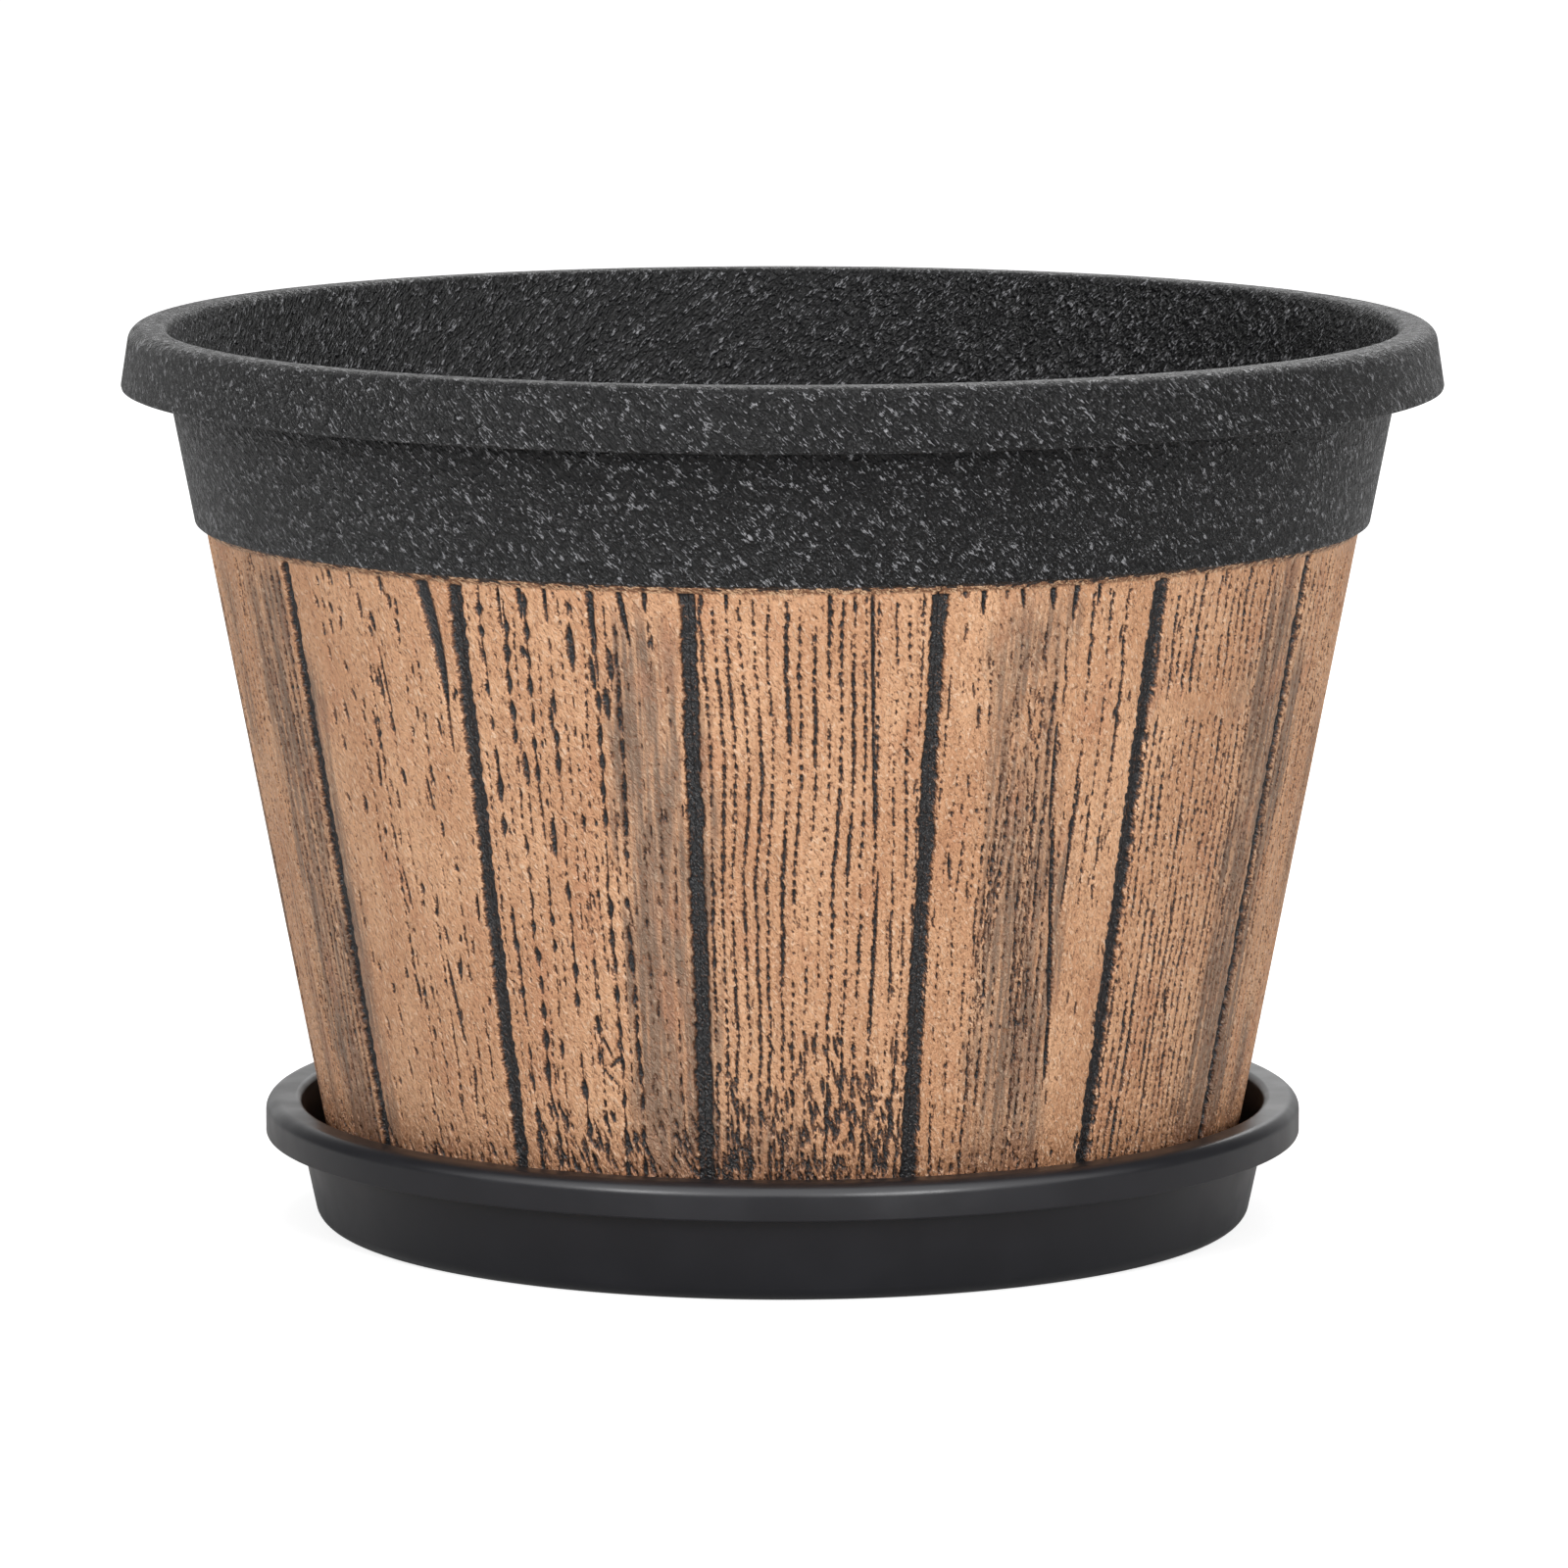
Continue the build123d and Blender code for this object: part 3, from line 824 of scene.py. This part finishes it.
# Noises along the grain: size across, size down and detail of each.
grains = []
for width, length, detail in ((14, 40, 3), (1.1, 22, 3), (0.5, 6, 2), (0.45, 0.6, 1), (9, 22, 2)):
    scaled = add(tree, "ShaderNodeVectorMath", {
        0: board, 1: (1 / width, 1 / length, BOARD_APART)}, operation="MULTIPLY").outputs[0]
    grains.append(add(tree, "ShaderNodeTexNoise", {
        "Vector": scaled, "Scale": 1, "Detail": detail}).outputs[0])
clouds, streaks, fine, speckle, patches = grains
print("noises along the grain:", len(grains))

# %% [markdown]
# ### The skin on the print
# The same leathery skin as on the black plastic, finer here. It is stretched along a slant,
# and nearly everything below looks at it: where it is high, a painted highlight; where low,
# darker colour, partly painted shade and partly the print lying thinner, with stain near the foot.

# %% Skin of the print
slanted = add(tree, "ShaderNodeVectorRotate", {0: board, "Angle": SKIN_SLANT},
              rotation_type="Z_AXIS").outputs[0]
drawn = add(tree, "ShaderNodeVectorMath", {
    0: slanted, 1: (1 / SKIN_WIDTH, 1 / SKIN_LENGTH, BOARD_APART)}, operation="MULTIPLY").outputs[0]
skin = add(tree, "ShaderNodeTexNoise", {
    "Vector": drawn, "Scale": 1, "Detail": 2, "Distortion": 0.9}).outputs[0]
print("nodes so far:", len(tree.nodes))

# %% [markdown]
# ### The tan print
# Two tans in slow clouds, then long streaks and fine fibres laid over them. Each coat is a
# Mix node whose factor says where the coat lies, as a printer lays one ink on another.

# %% Tan print
share = add(tree, "ShaderNodeMapRange", {0: clouds, 1: 0.35, 2: 0.65}, **SMOOTH).outputs[0]
paint = add(tree, "ShaderNodeMix", {
    0: share, 6: linear("#CF9B74"), 7: linear("#E0AE86")}, **COLOUR).outputs[2]
for noise, low, most, colour in ((streaks, 0.45, 0.5, "#BB845F"), (fine, 0.55, 0.45, "#A4724F")):
    share = add(tree, "ShaderNodeMapRange", {
        0: noise, 1: low, 2: 0.75, 4: most}, **SMOOTH).outputs[0]
    paint = add(tree, "ShaderNodeMix", {
        0: share, 6: paint, 7: linear(colour)}, **COLOUR).outputs[2]

# %% [markdown]
# ### Smoke
# The boards carry where they are smoky as an attribute. Streaks break it up, because an
# even grey would look sprayed on.

# %% Smoky zones
share = add(tree, "ShaderNodeMapRange", {0: streaks, 1: 0.35, 2: 0.65}, **SMOOTH).outputs[0]
grey = add(tree, "ShaderNodeMix", {
    0: share, 6: linear("#9A7C66"), 7: linear("#776252")}, **COLOUR).outputs[2]
share = add(tree, "ShaderNodeMapRange", {
    0: streaks, 1: 0.30, 2: 0.62, 3: 0.45, 4: 1.0}, **SMOOTH).outputs[0]
smoky = add(tree, "ShaderNodeMath", {0: smoke, 1: share}, operation="MULTIPLY").outputs[0]
share = add(tree, "ShaderNodeMapRange", {0: smoky, 1: 0.1, 2: 0.75, 4: 0.92}, **SMOOTH).outputs[0]
paint = add(tree, "ShaderNodeMix", {0: share, 6: paint, 7: grey}, **COLOUR).outputs[2]
print("nodes so far:", len(tree.nodes))

# %% [markdown]
# ### The foot and warm patches
# The print turns browner towards the foot, and dark stain fills the skin's valleys there.
# The slow clouds move the border up and down, so that it isn't a ruled line.

# %% Foot stain and patches
uneven = add(tree, "ShaderNodeMath", {0: clouds, 1: 16.0}, operation="MULTIPLY").outputs[0]
lowness = add(tree, "ShaderNodeMath", {0: along, 1: uneven}, operation="ADD").outputs[0]
low = add(tree, "ShaderNodeMapRange", {
    0: lowness, 1: BOARD_LENGTH - FOOT_STAIN, 2: BOARD_LENGTH + 4, 4: 0.9}, **SMOOTH).outputs[0]
paint = add(tree, "ShaderNodeMix", {0: low, 6: paint, 7: linear("#A2613A")}, **COLOUR).outputs[2]
share = add(tree, "ShaderNodeMapRange", {0: patches, 1: 0.52, 2: 0.72, 4: 0.4}, **SMOOTH).outputs[0]
paint = add(tree, "ShaderNodeMix", {0: share, 6: paint, 7: linear("#BC7F5C")}, **COLOUR).outputs[2]
share = add(tree, "ShaderNodeMapRange", {
    0: skin, 1: 0.42, 2: 0.54, 3: 0.85, 4: 0}, **SMOOTH).outputs[0]
stain = add(tree, "ShaderNodeMath", {0: low, 1: share}, operation="MULTIPLY").outputs[0]
paint = add(tree, "ShaderNodeMix", {0: stain, 6: paint, 7: linear("#3A281D")}, **COLOUR).outputs[2]
print("nodes so far:", len(tree.nodes))

# %% [markdown]
# ### Valleys and tips
# Valleys of the skin are darker and its tips paler, less so where it is smoky. A bump alone
# shows only where a lamp grazes it; a little colour shows it from every side. The pale tips are
# a painted highlight; the dark valleys are partly painted shade and partly the print lying thinner.

# %% Valleys and tips of the skin
# Partly painted shade: the skin's valleys are darkened, partly also for the thinner print there.
share = add(tree, "ShaderNodeMapRange", {
    0: skin, 1: 0.32, 2: 0.48, 3: 0.55, 4: 0}, **SMOOTH).outputs[0]
paint = add(tree, "ShaderNodeMix", {0: share, 6: paint, 7: linear("#A06E4C")}, **COLOUR).outputs[2]
# Painted highlight: the skin's high points are painted pale.
high = add(tree, "ShaderNodeMapRange", {0: skin, 1: 0.56, 2: 0.70, 4: 0.55}, **SMOOTH).outputs[0]
clear = add(tree, "ShaderNodeMapRange", {
    0: smoky, 1: 0.1, 2: 0.75, 3: 1.0, 4: 0.4}, **SMOOTH).outputs[0]
painted_glint_tips = add(tree, "ShaderNodeMath", {0: high, 1: clear}, operation="MULTIPLY").outputs[0]
paint = add(tree, "ShaderNodeMix", {0: painted_glint_tips, 6: paint, 7: linear("#F0D4B8")}, **COLOUR).outputs[2]
print("nodes so far:", len(tree.nodes))

# %% [markdown]
# ### The top edge
# Under the black band the print ends in a thin brown line, with pale strokes where the skin
# is high. The pale strokes are a painted highlight along the top edge.

# %% Top edge
edge = add(tree, "ShaderNodeMapRange", {0: along, 1: -0.1, 2: 0.5, 3: 1, 4: 0}, **SMOOTH).outputs[0]
share = add(tree, "ShaderNodeMath", {0: edge, 1: 0.8}, operation="MULTIPLY").outputs[0]
paint = add(tree, "ShaderNodeMix", {0: share, 6: paint, 7: linear("#7A523A")}, **COLOUR).outputs[2]
# Painted highlight: pale strokes on the skin's high points along the top edge.
share = add(tree, "ShaderNodeMapRange", {0: skin, 1: 0.50, 2: 0.58, 4: 0.9}, **SMOOTH).outputs[0]
painted_highlight_strokes = add(tree, "ShaderNodeMath", {0: edge, 1: share}, operation="MULTIPLY").outputs[0]
paint = add(tree, "ShaderNodeMix", {0: painted_highlight_strokes, 6: paint, 7: linear("#E6C09A")}, **COLOUR).outputs[2]
print("nodes so far:", len(tree.nodes))

# %% [markdown]
# ### Printed pores
# Small drawn-out cells give the pores that are only printed. Speckle drops half of them.

# %% Printed pores
scaled = add(tree, "ShaderNodeVectorMath", {
    0: board, 1: (1 / PORE_WIDTH, 1 / PORE_LENGTH, BOARD_APART)}, operation="MULTIPLY").outputs[0]
cells = add(tree, "ShaderNodeTexVoronoi", {"Vector": scaled, "Scale": 1}).outputs["Distance"]
near = add(tree, "ShaderNodeMapRange", {0: cells, 1: 0.10, 2: 0.24, 3: 1, 4: 0}, **SMOOTH).outputs[0]
some = add(tree, "ShaderNodeMapRange", {0: speckle, 1: 0.42, 2: 0.55}, **SMOOTH).outputs[0]
pores = add(tree, "ShaderNodeMath", {0: near, 1: some}, operation="MULTIPLY").outputs[0]
share = add(tree, "ShaderNodeMath", {0: pores, 1: 0.75}, operation="MULTIPLY").outputs[0]
paint = add(tree, "ShaderNodeMix", {0: share, 6: paint, 7: linear("#7A5440")}, **COLOUR).outputs[2]
print("nodes so far:", len(tree.nodes))

# %% [markdown]
# ### Pressed pits, relief and gloss
# The pressed pits are brown where shallow and black where deep. Noise is taken off their
# depth before that, which frays their borders far below the size of the mesh's faces.

# %% Pits, relief and gloss
noises = add(tree, "ShaderNodeMath", {0: skin, 1: speckle}, operation="ADD").outputs[0]
ragged = add(tree, "ShaderNodeMath", {0: noises, 1: 1.0}, operation="SUBTRACT").outputs[0]
share = add(tree, "ShaderNodeMath", {0: ragged, 1: 1.1}, operation="MULTIPLY").outputs[0]
rough_pit = add(tree, "ShaderNodeMath", {0: pit, 1: share}, operation="SUBTRACT").outputs[0]
share = add(tree, "ShaderNodeMapRange", {
    0: rough_pit, 1: 0.16, 2: 0.46, 4: 0.95}, **SMOOTH).outputs[0]
paint = add(tree, "ShaderNodeMix", {0: share, 6: paint, 7: linear("#6B4833")}, **COLOUR).outputs[2]
share = add(tree, "ShaderNodeMapRange", {0: rough_pit, 1: 0.46, 2: 0.90}, **SMOOTH).outputs[0]
paint = add(tree, "ShaderNodeMix", {0: share, 6: paint, 7: linear("#252628")}, **COLOUR).outputs[2]

share = add(tree, "ShaderNodeMath", {0: rough_pit, 1: 0.4}, operation="MULTIPLY").outputs[0]
relief = add(tree, "ShaderNodeMath", {0: skin, 1: share}, operation="SUBTRACT").outputs[0]
bump = add(tree, "ShaderNodeBump", {"Height": relief, "Strength": 1.0, "Distance": 0.6 * MM})
gloss = add(tree, "ShaderNodeMapRange", {0: pit, 3: 0.48, 4: 0.36}, **SMOOTH)
tree.links.new(paint, shader.inputs["Base Color"])
tree.links.new(gloss.outputs[0], shader.inputs["Roughness"])
tree.links.new(bump.outputs[0], shader.inputs["Normal"])
shader.inputs["IOR"].default_value = LACQUER_IOR
print("material", wood.name)

# %% [markdown]
# ## The fifteen boards
# Each board is a closed skin 1.8 mm thick. Its edge-on outline is a thin sliver whose front is
# cut into short steps; turned through 24 degrees it becomes a fine grid that the depth field can
# press into. The two ends are capped where the boards meet, at the bottom of the grooves.

# %% Boards
blank = bmesh.new()
ledge_vert, top_vert, low_vert, back_low_vert, back_top_vert = [
    blank.verts.new((radius * MM, 0, height * MM)) for radius, height in (
        (ledge_outer, ledge_high), (plank_face(STEP), STEP), (plank_face(SKIN_LOW), SKIN_LOW),
        (plank_face(SKIN_LOW) - SKIN, SKIN_LOW), (plank_face(STEP) - SKIN, STEP))
]
ledge_edge = blank.edges.new((ledge_vert, top_vert))
front_edge = blank.edges.new((top_vert, low_vert))
for pair in ((low_vert, back_low_vert), (back_low_vert, back_top_vert),
             (back_top_vert, ledge_vert)):
    blank.edges.new(pair)
bmesh.ops.subdivide_edges(blank, edges=[front_edge], cuts=ROWS - 1)
bmesh.ops.subdivide_edges(blank, edges=[ledge_edge], cuts=LEDGE_ROWS - 1)
bmesh.ops.spin(
    blank, geom=blank.verts[:] + blank.edges[:], cent=(0, 0, 0), axis=(0, 0, 1),
    angle=math.radians(PLANK_ANGLE), steps=COLUMNS,
)
bmesh.ops.holes_fill(blank, edges=[edge for edge in blank.edges if edge.is_boundary], sides=0)
bmesh.ops.recalc_face_normals(blank, faces=blank.faces[:])
blank_mesh = bpy.data.meshes.new("blank_board")
blank.to_mesh(blank_mesh)
blank.free()

points = np.zeros(len(blank_mesh.vertices) * 3)
blank_mesh.vertices.foreach_get("co", points)
points = points.reshape(-1, 3) / MM
angle_of = np.degrees(np.arctan2(points[:, 1], points[:, 0]))
radius_of = np.hypot(points[:, 0], points[:, 1])
is_front = radius_of > plank_face(points[:, 2]) - SKIN / 2
column_of = np.rint(angle_of / PLANK_ANGLE * COLUMNS).astype(int)
row_of = np.abs(points[:, 2][:, None] - row_heights[None, :]).argmin(axis=1)
print("blank board:", len(points), "points,", int(is_front.sum()), "on its front")

for number, kind in enumerate(BOARD_ORDER):
    depth, black_share, smoke_share = press_board(kind, number)
    pressed = np.where(is_front, depth[row_of, column_of], 0)
    outward = np.stack([points[:, 0] / radius_of * SLOPE, points[:, 1] / radius_of * SLOPE,
                        np.full(len(points), -DRAFT * SLOPE)], axis=1)
    moved = points - outward * pressed[:, None]
    turn = math.radians(FIRST_GROOVE + PLANK_ANGLE * number)
    turned_x = moved[:, 0] * math.cos(turn) - moved[:, 1] * math.sin(turn)
    turned_y = moved[:, 0] * math.sin(turn) + moved[:, 1] * math.cos(turn)
    moved = np.stack([turned_x, turned_y, moved[:, 2]], axis=1) * MM
    mesh = blank_mesh.copy()
    mesh.vertices.foreach_set("co", moved.ravel())
    board_at = np.stack([across[column_of], down[row_of], np.full(len(points), number)], axis=1)
    mesh.attributes.new("board", "FLOAT_VECTOR", "POINT").data.foreach_set(
        "vector", board_at.astype(np.float32).ravel())
    for name, values in (("pit", black_share), ("smoke", smoke_share)):
        mesh.attributes.new(name, "FLOAT", "POINT").data.foreach_set(
            "value", np.where(is_front, values[row_of, column_of], 0).astype(np.float32))
    mesh.polygons.foreach_set("use_smooth", np.ones(len(mesh.polygons), bool))
    mesh.update()
    mesh.materials.append(wood)
    piece = bpy.data.objects.new(f"plank_{number + 1:02d}", mesh)
    mesh.name = piece.name
    bpy.context.scene.collection.objects.link(piece)
    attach(piece, "pot")
    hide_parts("pot")
bpy.data.meshes.remove(blank_mesh)
print("boards made:", len(BOARD_ORDER))

# %% [markdown]
# ## The studio
# A plain pale floor, a white surround and soft lamps from the front and above. To the camera the
# surround is white, and for the light that falls on the object it has one plain level, so that
# colours come out as they are written. To gloss it is dark, as a studio is, but for a bright
# stretch high in front and one behind, which draw the highlights on the black plastic.

# %% Floor
FLOOR_RADIUS = 12
FLOOR_GLOW = 0.75
bm = bmesh.new()
bmesh.ops.create_circle(bm, segments=96, radius=FLOOR_RADIUS, cap_ends=True)
floor_mesh = bpy.data.meshes.new("floor")
bm.to_mesh(floor_mesh)
bm.free()
floor = bpy.data.objects.new("floor", floor_mesh)
bpy.context.scene.collection.objects.link(floor)
paper, tree, shader = new_material("studio_paper")
shader.inputs["Base Color"].default_value = linear("#D6D6D6")
shader.inputs["Roughness"].default_value = 0.9
shader.inputs["Specular IOR Level"].default_value = 0.0
shader.inputs["Emission Color"].default_value = linear("#FFFFFF")
seen = add(tree, "ShaderNodeLightPath").outputs["Is Camera Ray"]
glow = add(tree, "ShaderNodeMath", {0: seen, 1: FLOOR_GLOW}, operation="MULTIPLY").outputs[0]
tree.links.new(glow, shader.inputs["Emission Strength"])
floor_mesh.materials.append(paper)
print("floor", FLOOR_RADIUS, "m in radius")

# %% Surround and lamps
SURROUND_LIGHT = 0.5
LOW_GLOSS = 0.16
HIGH_GLOSS = 2.6
BACK_GLOSS = 0.95
world = bpy.data.worlds.new("surround")
bpy.context.scene.world = world
world.use_nodes = True
tree = world.node_tree
background = tree.nodes["Background"]
background.inputs["Color"].default_value = linear("#FFFFFF")
rays = add(tree, "ShaderNodeLightPath").outputs
direction = add(tree, "ShaderNodeTexCoord").outputs["Generated"]
sides = add(tree, "ShaderNodeSeparateXYZ", {0: direction}).outputs
front = add(tree, "ShaderNodeMapRange", {0: sides[1], 1: 0.1, 2: -0.5}, **SMOOTH).outputs[0]
high = add(tree, "ShaderNodeMapRange", {0: sides[2], 1: 0.1, 2: 0.3}, **SMOOTH).outputs[0]
high_front = add(tree, "ShaderNodeMath", {0: high, 1: front}, operation="MULTIPLY").outputs[0]
front_gloss = add(tree, "ShaderNodeMapRange", {
    0: high_front, 3: LOW_GLOSS, 4: HIGH_GLOSS}, **SMOOTH).outputs[0]
back_gloss = add(tree, "ShaderNodeMapRange", {
    0: sides[1], 1: 0.65, 2: 1.0, 3: LOW_GLOSS, 4: BACK_GLOSS}, **SMOOTH).outputs[0]
gloss = add(tree, "ShaderNodeMath", {
    0: back_gloss, 1: front_gloss}, operation="MAXIMUM").outputs[0]
level = add(tree, "ShaderNodeMix", {
    0: rays["Is Glossy Ray"], 6: [SURROUND_LIGHT] * 3 + [1], 7: gloss}, **COLOUR).outputs[2]
level = add(tree, "ShaderNodeMix", {
    0: rays["Is Camera Ray"], 6: level, 7: linear("#FFFFFF")}, **COLOUR).outputs[2]
tree.links.new(level, background.inputs["Strength"])

LAMP_AIM = Vector((0, 0, 0.1))
LAMPS = [  # name, place in metres, size in metres, power in watts
    ("key_left", (-1.0, -1.7, 0.75), 0.4, 13.5),
    ("key_right", (0.9, -1.8, 0.55), 0.4, 17.5),
    ("top", (0, 0.4, 2.0), 1.2, 8),
    ("back", (0.4, 1.9, 1.2), 0.8, 5),
]
for name, place, size, power in LAMPS:
    data = bpy.data.lights.new(name, "AREA")
    data.size = size
    data.energy = power
    lamp = bpy.data.objects.new(name, data)
    lamp.location = place
    lamp.rotation_euler = (LAMP_AIM - Vector(place)).to_track_quat("-Z", "Y").to_euler()
    bpy.context.scene.collection.objects.link(lamp)
    print("lamp", name, power, "W")
